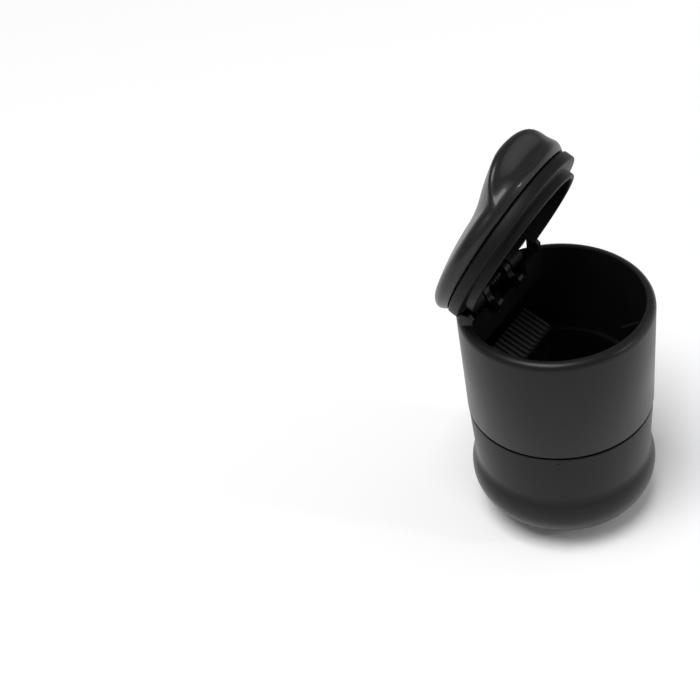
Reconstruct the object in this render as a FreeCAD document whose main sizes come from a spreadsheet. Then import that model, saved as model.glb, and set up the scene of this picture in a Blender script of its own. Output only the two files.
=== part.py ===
import FreeCAD, Part
import Sketcher
import math
import os
import re

# A cup-holder ashtray: a two-piece moulded cup, a snuffer insert standing in it, and a lid of
# ring and domed cap on a pin hinge at the back of the rim. Millimetres, +Z up, front along -Y,
# origin at the middle of the foot. The lid stands open at rest.

doc = FreeCAD.newDocument("car_ashtray")
sheet = doc.addObject("Spreadsheet::Sheet", "Sizes")

SIZES = {
    # cup, upper shell
    "rim_radius": 35.0,
    "rim_top_inset": 1.8,
    "rim_wall": 3.6,
    "rim_inner_drop": 0.9,
    "rim_roll": 3.4,
    "rim_round": 4.2,
    "cup_height": 94.5,
    "shell_taper": 1.0,
    "shell_wall": 3.0,
    "seam_height": 50.4,
    # cup, base
    "foot_inset": 12.4,
    "foot_round": 0.8,
    "bulge_out": 0.4,
    "bulge_height": 19.2,
    "bowl_round": 15.0,
    "neck_depth": 1.7,
    "neck_rise": 7.6,
    "neck_round": 8.0,
    "base_step": 0.2,
    "base_wall": 2.6,
    "floor_rise": 0.8,
    "seam_groove": 1.2,
    "seam_groove_depth": 0.9,
    "spigot_fit": 0.05,
    "spigot_wall": 2.0,
    "spigot_rise": 6.0,
    "pip_radius": 0.9,
    "pip_stand": 0.5,
    "pip_drop": 3.6,
    "pip_angle": 206.5,
    # hinge pocket, hinge wall and lugs in the back of the shell
    "hinge_setback": 9.6,
    "hinge_rise": 0.2,
    "hinge_wall_gap": 4.6,
    "hinge_wall": 1.8,
    "hinge_wall_drop": 4.2,
    "pocket_depth": 10.0,
    "pocket_floor": 2.0,
    "pocket_gap": 0.4,
    "wing_gap": 0.5,
    "wing_drop": 0.3,
    "wing_bite": 0.8,
    "cheek_setback": 1.4,
    "cheek_rise": 2.9,
    "cheek_clearance": 0.4,
    "boss_radius": 3.0,
    "boss_flare_angle": 60.0,
    "lug_place": 7.4,
    "lug_width": 3.0,
    "lug_foot": 5.4,
    "nose_radius": 1.8,
    "nose_drop": 2.1,
    "nose_root": 5.7,
    "pin_radius": 1.25,
    "pin_running_fit": 0.06,
    # rest fins inside the shell
    "fin_reach": 7.0,
    "fin_top_drop": 21.0,
    "fin_height": 11.0,
    "fin_thick": 1.0,
    "fin_angle_far": -40.0,
    "fin_angle_near": -65.0,
    # lid ring
    "open_angle": 63.0,
    "lid_gap": 0.3,
    "band_inset": 1.0,
    "band_height": 4.2,
    "lip_gap": 2.2,
    "lip_wall": 1.7,
    "lip_drop": 3.4,
    "lip_end_gap": 1.6,
    "collar_inset": 3.4,
    "collar_rise": 4.8,
    "bay_room": 1.2,
    "bay_lead": 4.0,
    "knuckle_gap": 0.9,
    "knuckle_width": 6.0,
    # lid cap
    "cap_gap": 0.6,
    "cap_reveal": 0.8,
    "cap_swell": 1.4,
    "cap_widest": 3.8,
    "cap_side_round": 6.0,
    "cap_shoulder_inset": 4.7,
    "cap_shoulder": 6.7,
    "cap_dome": 11.0,
    "cap_fit": 0.05,
    "cap_wall": 2.6,
    "hump_forward": 7.1,
    "hump_half_width": 22.1,
    "hump_half_length": 52.2,
    "hump_top": 15.1,
    "hump_overhang": 1.7,
    "hump_round": 3.4,
    "hollow_inset": 20.6,
    "hollow_half_width": 16.0,
    "hollow_half_length": 14.0,
    "hollow_top": 9.9,
    "scoop_half_width": 22.0,
    "scoop_half_height": 6.0,
    "scoop_half_reach": 10.0,
    "scoop_depth": 1.9,
    "scoop_height": 6.0,
    # snuffer insert
    "insert_gap": 0.4,
    "column_depth": 8.0,
    "column_wall": 2.0,
    "column_half_top": 12.3,
    "column_half_foot": 14.2,
    "ramp_low": 69.6,
    "ramp_high": 74.2,
    "ramp_lip": 1.1,
    "ramp_overhang": 1.8,
    "ramp_half": 12.9,
    "ramp_thick": 2.2,
    "rib_count": 11,
    "rib_pitch": 2.35,
    "rib_width": 1.2,
    "rib_rise": 1.1,
    "foot_plate_half": 16.6,
    "foot_plate_reach": 9.0,
    "foot_plate_thick": 1.6,
    "groove_width": 0.8,
    "groove_depth": 0.7,
    "groove_inner": 5.8,
    "groove_spacing": 1.6,
    # lid spring
    "wire_radius": 0.4,
    "coil_radius": 2.2,
    "coil_turns": 4,
    "coil_pitch": 1.5,
    "spring_reach": 9.0,
    "spring_leg_drop": 1.6,
    "spring_clearance": 0.15,
}

for row, (alias, value) in enumerate(SIZES.items(), start=1):
    sheet.set("A%d" % row, alias)
    sheet.set("B%d" % row, str(value))
    sheet.setAlias("B%d" % row, alias)
doc.recompute()

# Places that several pieces share, written once as formulas of the sizes.
RIM_TOP = "(rim_radius - rim_top_inset)"
RIM_INNER = "(rim_radius - rim_wall)"
SHELL_SEAM = "(rim_radius - shell_taper)"
SHELL_INNER = "(" + SHELL_SEAM + " - shell_wall)"
SPIGOT = "(" + SHELL_INNER + " - spigot_fit)"
BASE_TOP = "(" + SHELL_SEAM + " - base_step)"
BULGE = "(" + SHELL_SEAM + " + bulge_out)"
NECK = "(" + BULGE + " - neck_depth)"
NECK_Z = "(bulge_height + neck_rise)"
FOOT = "(" + BULGE + " - foot_inset)"
FLOOR_Z = "(bulge_height - bowl_round + base_wall + floor_rise)"
FLOOR_RUN = "sqrt((bowl_round - base_wall)^2 - (bowl_round - base_wall - floor_rise)^2)"
FLOOR = "(" + BULGE + " - bowl_round + " + FLOOR_RUN + ")"
HINGE_Y = "(rim_radius - hinge_setback)"
HINGE_Z = "(cup_height + hinge_rise)"
WALL_BACK = "(" + HINGE_Y + " - hinge_wall_gap)"
WALL_FRONT = "(" + WALL_BACK + " - hinge_wall)"
WALL_MIDDLE = "(" + WALL_BACK + " - hinge_wall / 2)"
WALL_TOP = "(cup_height - hinge_wall_drop)"
POCKET_Z = "(cup_height - pocket_depth)"
BAND = "(rim_radius - band_inset)"
BAND_LOW = "(cup_height + lid_gap)"
BAND_TOP = "(" + BAND_LOW + " + band_height)"
COLLAR = "(" + BAND + " - collar_inset)"
COLLAR_TOP = "(" + BAND_TOP + " + collar_rise)"
LIP = "(" + RIM_INNER + " - lip_gap)"
RING_INNER = "(" + LIP + " - lip_wall)"
POCKET_HALF = "(sqrt(" + BAND + "^2 - " + HINGE_Y + "^2) + pocket_gap)"
BAY_HALF = "(lug_place + lug_width / 2 + knuckle_gap)"
WING_START = "(" + BAY_HALF + " + knuckle_width + wing_gap)"
WING_END = "sqrt((" + RIM_INNER + " + wing_bite)^2 - " + WALL_FRONT + "^2)"
CAP_LOW = "(" + BAND_TOP + " + cap_gap)"
CAP_EDGE = "(" + BAND + " - cap_reveal)"
CAP = "(" + CAP_EDGE + " + cap_swell)"
CEILING_RISE = "(cap_dome - cap_wall - collar_rise + cap_gap)"
CEILING_ROUND = "(((" + COLLAR + " + cap_fit)^2 + " + CEILING_RISE + "^2) / (2 * " + CEILING_RISE + "))"
COLUMN_BACK = "sqrt((" + FLOOR + " - insert_gap)^2 - column_half_foot^2)"
COLUMN_FRONT = "(" + COLUMN_BACK + " - column_depth)"
WORDS = re.compile(r"[a-z]+(?:_[a-z]+)+")


def formula(text):
    return WORDS.sub(lambda word: "Sizes." + word.group(0), text)


def number(text):
    return float(sheet.evalExpression(formula(text)))


def origin_plane(body, role):
    return next(item for item in body.Origin.OriginFeatures if item.Role == role)


def new_body(label):
    body = doc.addObject("PartDesign::Body", label)
    body.Label = label
    return body


def place(sketch, body, role, offset=None):
    sketch.AttachmentSupport = [(origin_plane(body, role), "")]
    sketch.MapMode = "FlatFace"
    if offset is not None:
        sketch.AttachmentOffset = offset


def arc_middle(start, end, radius, side):
    # Point half way along the minor arc between two corners; side +1 bulges left of the way.
    chord = end - start
    middle = (start + end) * 0.5
    left = FreeCAD.Vector(-chord.y, chord.x, 0).normalize()
    sagitta = radius - math.sqrt(max(radius * radius - chord.Length * chord.Length / 4, 0.0))
    return middle + left * (side * sagitta)


def outline(body, name, role, corners, offset=None):
    # A closed outline. Each corner is (across, up) and may add (radius, side) for an arc to the
    # next corner, (radius, side, "major") for the longer way round, or ("half", side) for a half
    # circle on a level chord.
    sketch = body.newObject("Sketcher::SketchObject", name)
    place(sketch, body, role, offset)
    points = [FreeCAD.Vector(number(corner[0]), number(corner[1]), 0) for corner in corners]
    ends = []
    for index, corner in enumerate(corners):
        start = points[index]
        end = points[(index + 1) % len(points)]
        if len(corner) == 2:
            edge = sketch.addGeometry(Part.LineSegment(start, end), False)
            ends.append((edge, 1, 2))
            continue
        half_circle = corner[2] == "half"
        radius = (end - start).Length / 2 if half_circle else number(corner[2])
        middle = arc_middle(start, end, radius, corner[3])
        if len(corner) == 5:
            centre = (start + end) * 0.5 + (middle - (start + end) * 0.5).normalize() * math.sqrt(
                max(radius * radius - (end - start).Length ** 2 / 4, 0.0))
            middle = centre + (centre - (start + end) * 0.5).normalize() * radius
        edge = sketch.addGeometry(Part.Arc(start, middle, end), False)
        turns_left = (middle - start).cross(end - start).z > 0
        ends.append((edge, 1, 2) if turns_left else (edge, 2, 1))
        if half_circle:
            bound = sketch.addConstraint(Sketcher.Constraint("DistanceY", -1, 1, edge, 3, start.y))
            sketch.setExpression("Constraints[%d]" % bound, formula(corner[1]))
        else:
            bound = sketch.addConstraint(Sketcher.Constraint("Radius", edge, radius))
            sketch.setExpression("Constraints[%d]" % bound, formula(corner[2]))
    for index, (edge, first, last) in enumerate(ends):
        following = ends[(index + 1) % len(ends)]
        sketch.addConstraint(Sketcher.Constraint("Coincident", edge, last, following[0], following[1]))
        for kind, text, value in (("DistanceX", corners[index][0], points[index].x),
                                  ("DistanceY", corners[index][1], points[index].y)):
            bound = sketch.addConstraint(Sketcher.Constraint(kind, -1, 1, edge, first, value))
            sketch.setExpression("Constraints[%d]" % bound, formula(text))
    doc.recompute()
    return sketch


def turned(body, kind, sketch):
    feature = body.newObject("PartDesign::" + kind, sketch.Name + "_turned")
    feature.Profile = sketch
    feature.ReferenceAxis = (sketch, ["V_Axis"])
    feature.Angle = 360
    doc.recompute()
    return feature


def raised(body, kind, sketch, length, symmetric=False, reverse=False):
    feature = body.newObject("PartDesign::" + kind, sketch.Name + "_raised")
    feature.Profile = sketch
    feature.setExpression("Length", formula(length))
    if symmetric:
        feature.SideType = "Symmetric"
    feature.Reversed = reverse
    doc.recompute()
    return feature


def bored(body, sketch_name, radius, reach):
    # A straight bore on the hinge line, through everything within reach of the middle plane.
    sketch = body.newObject("Sketcher::SketchObject", sketch_name)
    place(sketch, body, "YZ_Plane")
    centre = FreeCAD.Vector(number(HINGE_Y), number(HINGE_Z), 0)
    ring = sketch.addGeometry(Part.Circle(centre, FreeCAD.Vector(0, 0, 1), number(radius)), False)
    for kind, text in (("DistanceX", HINGE_Y), ("DistanceY", HINGE_Z)):
        bound = sketch.addConstraint(Sketcher.Constraint(kind, -1, 1, ring, 3, number(text)))
        sketch.setExpression("Constraints[%d]" % bound, formula(text))
    bound = sketch.addConstraint(Sketcher.Constraint("Radius", ring, number(radius)))
    sketch.setExpression("Constraints[%d]" % bound, formula(radius))
    doc.recompute()
    return raised(body, "Pocket", sketch, "2 * (" + reach + ")", symmetric=True)


def mirrored(body, features):
    twin = body.newObject("PartDesign::Mirrored", features[0].Name + "_twin")
    twin.Originals = features
    twin.MirrorPlane = (origin_plane(body, "YZ_Plane"), [""])
    body.Tip = twin
    doc.recompute()
    return twin


def rounded(body, feature, wanted, radius):
    names = ["Edge%d" % (index + 1) for index, edge in enumerate(feature.Shape.Edges) if wanted(edge)]
    fillet = body.newObject("PartDesign::Fillet", feature.Name + "_round")
    fillet.Base = (feature, names)
    fillet.setExpression("Radius", formula(radius))
    doc.recompute()
    return fillet


def across(distance):
    return FreeCAD.Placement(FreeCAD.Vector(0, 0, distance), FreeCAD.Rotation())


def circle_at(height, radius):
    def test(edge):
        low = edge.BoundBox.ZMin
        level = edge.BoundBox.ZLength < 1e-4 and abs(low - number(height)) < 1e-3
        return level and hasattr(edge.Curve, "Radius") and abs(edge.Curve.Radius - number(radius)) < 1e-3
    return test


# Lower cup: a bowl on a short foot, a soft bead, a neck above it and a spigot that carries the shell.
def make_base_cup():
    body = new_body("base_cup")
    bowl_low = "bulge_height - sqrt(bowl_round^2 - (bowl_round - foot_inset)^2)"
    bead = "(neck_depth^2 + neck_rise^2) / (2 * neck_depth)"
    section = outline(body, "base_section", "XZ_Plane", [
        ("0", "0"),
        (FOOT, "0"),
        (FOOT, bowl_low, "bowl_round", -1),
        (BULGE, "bulge_height", bead, -1),
        (NECK, NECK_Z),
        (BASE_TOP, "seam_height - seam_groove"),
        (BASE_TOP + " - seam_groove_depth", "seam_height - seam_groove"),
        (BASE_TOP + " - seam_groove_depth", "seam_height"),
        (SPIGOT, "seam_height"),
        (SPIGOT, "seam_height + spigot_rise"),
        (SPIGOT + " - spigot_wall", "seam_height + spigot_rise"),
        (SPIGOT + " - spigot_wall", "seam_height - spigot_wall"),
        (NECK + " - base_wall", "seam_height - spigot_rise"),
        (NECK + " - base_wall", NECK_Z),
        (BULGE + " - base_wall", "bulge_height", "bowl_round - base_wall", 1),
        (FLOOR, FLOOR_Z),
        ("0", FLOOR_Z),
    ])
    solid = turned(body, "Revolution", section)
    softened = rounded(body, solid, circle_at(NECK_Z, NECK), "neck_round")
    rounded(body, softened, circle_at("0", FOOT), "foot_round")
    pip = body.newObject("PartDesign::AdditiveSphere", "seam_pip")
    pip.AttachmentSupport = [(origin_plane(body, "XY_Plane"), "")]
    pip.MapMode = "FlatFace"
    pip.setExpression("Radius", formula("pip_radius"))
    reach = "(" + BASE_TOP + " - pip_radius + pip_stand)"
    pip.setExpression("AttachmentOffset.Base.x", formula(reach + " * cos(pip_angle)"))
    pip.setExpression("AttachmentOffset.Base.y", formula(reach + " * sin(pip_angle)"))
    pip.setExpression("AttachmentOffset.Base.z", formula("seam_height - pip_drop"))
    doc.recompute()
    return body


# Upper shell: a tapered tube with a rolled rim, a hinge pocket cut in its back and a wall before it.
def make_cup_body():
    body = new_body("cup_body")
    section = outline(body, "shell_section", "XZ_Plane", [
        (SHELL_INNER, "seam_height"),
        (SHELL_SEAM, "seam_height"),
        ("rim_radius", "cup_height - rim_roll", "rim_round", -1),
        (RIM_TOP, "cup_height", "rim_round", -1),
        (RIM_INNER, "cup_height - rim_inner_drop"),
    ])
    turned(body, "Revolution", section)
    dip = "(cup_height - " + HINGE_Z + " + (" + BAND + " - " + HINGE_Y + ") * sin(open_angle) + pocket_gap)"
    sweep = "(" + POCKET_HALF + "^2 + " + dip + "^2) / (2 * " + dip + ")"
    notch = outline(body, "pocket_cut", "XZ_Plane", [
        ("-" + POCKET_HALF, "cup_height", sweep, -1),
        (POCKET_HALF, "cup_height"),
        (POCKET_HALF, "2 * cup_height"),
        ("-" + POCKET_HALF, "2 * cup_height"),
    ], across(-number(WALL_BACK)))
    notch.setExpression("AttachmentOffset.Base.z", formula("-" + WALL_BACK))
    raised(body, "Pocket", notch, "2 * rim_radius")
    shelf = outline(body, "hinge_wall", "YZ_Plane", [
        (WALL_FRONT, POCKET_Z + " - pocket_floor"),
        ("rim_radius", POCKET_Z + " - pocket_floor"),
        ("rim_radius", POCKET_Z),
        (WALL_BACK, POCKET_Z),
        (WALL_BACK, WALL_TOP),
        (WALL_FRONT, WALL_TOP),
    ])
    raised(body, "Pad", shelf, "2 * rim_radius", symmetric=True)
    trim = outline(body, "shell_trim", "XZ_Plane", [
        (SHELL_SEAM, "seam_height"),
        ("2 * rim_radius", "seam_height"),
        ("2 * rim_radius", "cup_height"),
        ("rim_radius", "cup_height"),
        ("rim_radius", "cup_height - rim_roll"),
    ])
    turned(body, "Groove", trim)
    wing = outline(body, "wall_wing", "XZ_Plane", [
        (WING_START, POCKET_Z),
        (WING_END, POCKET_Z),
        (WING_END, "cup_height - wing_drop"),
        (WING_START, "cup_height - wing_drop"),
    ], across(-number(WALL_BACK)))
    wing.setExpression("AttachmentOffset.Base.z", formula("-" + WALL_BACK))
    wing_pad = raised(body, "Pad", wing, "hinge_wall")
    cheek = outline(body, "rim_cheek", "YZ_Plane", [
        (WALL_FRONT, POCKET_Z),
        (HINGE_Y + " - cheek_setback", POCKET_Z),
        (HINGE_Y + " - cheek_setback", "cup_height + cheek_rise"),
        (WALL_FRONT, "cup_height - wing_drop"),
    ], across(number(POCKET_HALF)))
    cheek.setExpression("AttachmentOffset.Base.z", formula(POCKET_HALF))
    cheek_pad = raised(body, "Pad", cheek, "hinge_wall")
    lug = outline(body, "hinge_lug", "YZ_Plane", [
        (WALL_MIDDLE, POCKET_Z + " - pocket_floor / 2"),
        (WALL_MIDDLE + " + lug_foot", POCKET_Z + " - pocket_floor / 2"),
        (HINGE_Y + " + boss_radius * cos(boss_flare_angle)",
         HINGE_Z + " - boss_radius * sin(boss_flare_angle)", "boss_radius", -1, "major"),
        (HINGE_Y + " - boss_radius", HINGE_Z),
        (WALL_FRONT + " + nose_radius", "cup_height - nose_drop", "half", -1),
        (WALL_FRONT + " - nose_radius", "cup_height - nose_drop"),
        (WALL_MIDDLE, "cup_height - nose_drop - nose_root"),
    ], across(number("lug_place - lug_width / 2")))
    lug.setExpression("AttachmentOffset.Base.z", formula("lug_place - lug_width / 2"))
    lug_pad = raised(body, "Pad", lug, "lug_width")
    mirrored(body, [wing_pad, cheek_pad, lug_pad])
    for alias in ("fin_angle_far", "fin_angle_near"):
        turn = FreeCAD.Rotation(FreeCAD.Vector(0, 1, 0), number(alias))
        fin = outline(body, alias.replace("angle", "rest"), "XZ_Plane", [
            (RIM_INNER + " - fin_reach", "cup_height - fin_top_drop"),
            (RIM_INNER + " - fin_reach", "cup_height - fin_top_drop - fin_thick"),
            (RIM_INNER + " + fin_thick", "cup_height - fin_top_drop - fin_height"),
            (RIM_INNER + " + fin_thick", "cup_height - fin_top_drop"),
        ], FreeCAD.Placement(FreeCAD.Vector(), turn))
        raised(body, "Pad", fin, "fin_thick", symmetric=True)
    bored(body, "pin_seat", "pin_radius", "lug_place + lug_width")
    return body


# Snuffer insert: a hollow column with a ribbed ramp on top and a grooved foot plate.
def make_snuffer_insert():
    body = new_body("snuffer_insert")
    column = outline(body, "column_face", "XZ_Plane", [
        ("-column_half_foot", FLOOR_Z),
        ("column_half_foot", FLOOR_Z),
        ("column_half_top", "ramp_low"),
        ("-column_half_top", "ramp_low"),
    ], across(-number(COLUMN_BACK)))
    column.setExpression("AttachmentOffset.Base.z", formula("-" + COLUMN_BACK))
    raised(body, "Pad", column, "column_depth")
    hollow = outline(body, "column_hollow", "XZ_Plane", [
        ("-column_half_foot + column_wall", FLOOR_Z),
        ("column_half_foot - column_wall", FLOOR_Z),
        ("column_half_top - column_wall", "ramp_low"),
        ("-column_half_top + column_wall", "ramp_low"),
    ], across(-number(COLUMN_BACK)))
    hollow.setExpression("AttachmentOffset.Base.z", formula("-" + COLUMN_BACK))
    raised(body, "Pocket", hollow, "column_depth - column_wall", reverse=True)
    ramp_front = "(" + COLUMN_FRONT + " - ramp_lip)"
    ramp_back = "(" + COLUMN_BACK + " + ramp_overhang)"
    ramp = outline(body, "ramp_plate", "YZ_Plane", [
        (ramp_front, "ramp_low - ramp_thick"),
        (ramp_back, "ramp_high - ramp_thick"),
        (ramp_back, "ramp_high"),
        (ramp_front, "ramp_low"),
    ])
    raised(body, "Pad", ramp, "2 * ramp_half", symmetric=True)
    first = "-(rib_count - 1) * rib_pitch / 2 - rib_width / 2"
    rib = outline(body, "ramp_rib", "YZ_Plane", [
        (ramp_front, "ramp_low - ramp_thick / 2"),
        (ramp_back, "ramp_high - ramp_thick / 2"),
        (ramp_back, "ramp_high + rib_rise"),
        (ramp_front, "ramp_low + rib_rise"),
    ], across(number(first)))
    rib.setExpression("AttachmentOffset.Base.z", formula(first))
    rib_pad = raised(body, "Pad", rib, "rib_width")
    ribs = body.newObject("PartDesign::LinearPattern", "ramp_ribs")
    ribs.Originals = [rib_pad]
    ribs.Direction = (rib, ["N_Axis"])
    ribs.setExpression("Length", formula("(rib_count - 1) * rib_pitch"))
    ribs.setExpression("Occurrences", formula("rib_count"))
    body.Tip = ribs
    doc.recompute()
    plate_front = COLUMN_FRONT + " - foot_plate_reach"
    plate = outline(body, "foot_plate", "XY_Plane", [
        ("-column_half_foot", COLUMN_FRONT + " + column_wall"),
        ("-foot_plate_half", plate_front),
        ("foot_plate_half", plate_front),
        ("column_half_foot", COLUMN_FRONT + " + column_wall"),
    ], across(number(FLOOR_Z)))
    plate.setExpression("AttachmentOffset.Base.z", formula(FLOOR_Z))
    raised(body, "Pad", plate, "foot_plate_thick")
    cuts = []
    for step in range(2):
        near = "groove_inner + %d * groove_spacing" % step
        slot = outline(body, "foot_groove_%d" % step, "XY_Plane", [
            (near, plate_front + " - groove_width"),
            (near + " + groove_width", plate_front + " - groove_width"),
            (near + " + groove_width", COLUMN_FRONT),
            (near, COLUMN_FRONT),
        ], across(number(FLOOR_Z + " + foot_plate_thick")))
        slot.setExpression("AttachmentOffset.Base.z", formula(FLOOR_Z + " + foot_plate_thick"))
        cuts.append(raised(body, "Pocket", slot, "groove_depth"))
    mirrored(body, cuts)
    return body


# Lid ring: flat band over the rim, lip inside it, collar for the cap and two hinge knuckles.
def make_lid_ring():
    body = new_body("lid_ring")
    section = outline(body, "ring_section", "XZ_Plane", [
        (RING_INNER, BAND_LOW + " - lip_drop"),
        (LIP, BAND_LOW + " - lip_drop"),
        (LIP, BAND_LOW),
        (BAND, BAND_LOW),
        (BAND, BAND_TOP),
        (COLLAR, BAND_TOP),
        (COLLAR, COLLAR_TOP),
        (RING_INNER, COLLAR_TOP),
    ])
    turned(body, "Revolution", section)
    lip_back = outline(body, "lip_end", "YZ_Plane", [
        (WALL_FRONT + " - lip_end_gap", BAND_LOW + " - 2 * lip_drop"),
        ("2 * rim_radius", BAND_LOW + " - 2 * lip_drop"),
        ("2 * rim_radius", BAND_LOW),
        (WALL_FRONT + " - lip_end_gap", BAND_LOW),
    ])
    raised(body, "Pocket", lip_back, "4 * rim_radius", symmetric=True)
    cheek_slot = outline(body, "cheek_slot", "YZ_Plane", [
        (WALL_FRONT + " - cheek_clearance", BAND_LOW + " - lip_drop"),
        (HINGE_Y + " - cheek_setback + cheek_clearance", BAND_LOW + " - lip_drop"),
        (HINGE_Y + " - cheek_setback + cheek_clearance", "cup_height + cheek_rise + cheek_clearance"),
        (WALL_FRONT + " - cheek_clearance", "cup_height + cheek_rise + cheek_clearance"),
    ], across(number(POCKET_HALF + " - cheek_clearance")))
    cheek_slot.setExpression("AttachmentOffset.Base.z", formula(POCKET_HALF + " - cheek_clearance"))
    mirrored(body, [raised(body, "Pocket", cheek_slot, "rim_radius", reverse=True)])
    bay = outline(body, "hinge_bay", "XY_Plane", [
        ("-" + BAY_HALF, WALL_FRONT + " - bay_lead"),
        (BAY_HALF, WALL_FRONT + " - bay_lead"),
        (BAY_HALF, HINGE_Y + " + boss_radius + bay_room"),
        ("-" + BAY_HALF, HINGE_Y + " + boss_radius + bay_room"),
    ])
    raised(body, "Pocket", bay, "4 * cup_height", symmetric=True)
    knuckle = outline(body, "ring_knuckle", "YZ_Plane", [
        (HINGE_Y + " - boss_radius", HINGE_Z, "half", -1),
        (HINGE_Y + " + boss_radius", HINGE_Z),
        (HINGE_Y + " + boss_radius", BAND_TOP),
        (HINGE_Y + " - boss_radius", BAND_TOP),
    ], across(number(BAY_HALF)))
    knuckle.setExpression("AttachmentOffset.Base.z", formula(BAY_HALF))
    mirrored(body, [raised(body, "Pad", knuckle, "knuckle_width")])
    bored(body, "knuckle_bore", "pin_radius + pin_running_fit", "rim_radius")
    return body


# Lid cap: a domed shell with a thumb hump over the front edge and a finger scoop in its face.
def make_lid_cap():
    body = new_body("lid_cap")
    shoulder = CAP + " - cap_shoulder_inset"
    dome_rise = "(cap_dome - cap_shoulder)"
    dome_round = "((" + shoulder + ")^2 + " + dome_rise + "^2) / (2 * " + dome_rise + ")"
    section = outline(body, "cap_section", "XZ_Plane", [
        ("0", CAP_LOW),
        (CAP_EDGE, CAP_LOW, "cap_side_round", -1),
        (CAP, CAP_LOW + " + cap_widest", "cap_side_round", -1),
        (shoulder, CAP_LOW + " + cap_shoulder", dome_round, -1),
        ("0", CAP_LOW + " + cap_dome"),
    ])
    turned(body, "Revolution", section)
    hump = body.newObject("PartDesign::AdditiveEllipsoid", "thumb_hump")
    ellipsoid(body, hump, "-(" + CAP + " + hump_forward)", CAP_LOW,
              "hump_half_width", "hump_half_length", "hump_top")
    front = outline(body, "hump_front", "XZ_Plane", [
        (CAP_EDGE, CAP_LOW, "cap_side_round", -1),
        (CAP, CAP_LOW + " + cap_widest"),
        (CAP + " + hump_overhang", CAP_LOW + " + hump_top - hump_round", "hump_round", -1),
        (CAP + " + hump_overhang - hump_round", CAP_LOW + " + hump_top"),
        (CAP + " + hump_overhang - hump_round", CAP_LOW + " + 2 * hump_top"),
        ("4 * rim_radius", CAP_LOW + " + 2 * hump_top"),
        ("4 * rim_radius", CAP_LOW),
    ])
    turned(body, "Groove", front)
    hollow = outline(body, "cap_hollow", "XZ_Plane", [
        ("0", "0"),
        ("4 * rim_radius", "0"),
        ("4 * rim_radius", CAP_LOW),
        (COLLAR + " + cap_fit", CAP_LOW),
        (COLLAR + " + cap_fit", COLLAR_TOP, CEILING_ROUND, -1),
        ("0", CAP_LOW + " + cap_dome - cap_wall"),
    ])
    turned(body, "Groove", hollow)
    cavity = body.newObject("PartDesign::SubtractiveEllipsoid", "hump_hollow")
    ellipsoid(body, cavity, "-(" + CAP + " - hollow_inset)", CAP_LOW,
              "hollow_half_width", "hollow_half_length", "hollow_top")
    scoop = body.newObject("PartDesign::SubtractiveEllipsoid", "finger_scoop")
    ellipsoid(body, scoop, "-(" + CAP + " + scoop_half_reach - scoop_depth)", CAP_LOW + " + scoop_height",
              "scoop_half_width", "scoop_half_reach", "scoop_half_height")
    return body


def ellipsoid(body, feature, y_place, z_place, half_x, half_y, half_z):
    feature.AttachmentSupport = [(origin_plane(body, "XY_Plane"), "")]
    feature.MapMode = "FlatFace"
    feature.setExpression("AttachmentOffset.Base.y", formula(y_place))
    feature.setExpression("AttachmentOffset.Base.z", formula(z_place))
    feature.setExpression("Radius1", formula(half_z))
    feature.setExpression("Radius2", formula(half_x))
    feature.setExpression("Radius3", formula(half_y))
    feature.Angle1 = -90
    feature.Angle2 = 90
    feature.Angle3 = 360
    doc.recompute()


# Hinge pin: a plain steel rod through lugs and knuckles.
def make_hinge_pin():
    pin = doc.addObject("Part::Cylinder", "hinge_pin")
    pin.Label = "hinge_pin"
    pin_half = "(" + BAY_HALF + " + knuckle_width)"
    pin.setExpression("Radius", formula("pin_radius"))
    pin.setExpression("Height", formula("2 * " + pin_half))
    pin.Placement.Rotation = FreeCAD.Rotation(FreeCAD.Vector(0, 1, 0), 90)
    pin.setExpression("Placement.Base.x", formula("-" + pin_half))
    pin.setExpression("Placement.Base.y", formula(HINGE_Y))
    pin.setExpression("Placement.Base.z", formula(HINGE_Z))
    doc.recompute()
    return pin


def opened(y, z):
    # Where a point of the closed lid, given from the hinge line, lies when the lid is open.
    turn = math.radians(number("open_angle"))
    return (y * math.cos(turn) + z * math.sin(turn), z * math.cos(turn) - y * math.sin(turn))


def leg(x, y, z, end_y, end_z, wire):
    start = FreeCAD.Vector(x, y, z)
    way = FreeCAD.Vector(x, end_y, end_z) - start
    return Part.makeCylinder(wire, way.Length, start, way).fuse(Part.makeSphere(wire, start))


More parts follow.
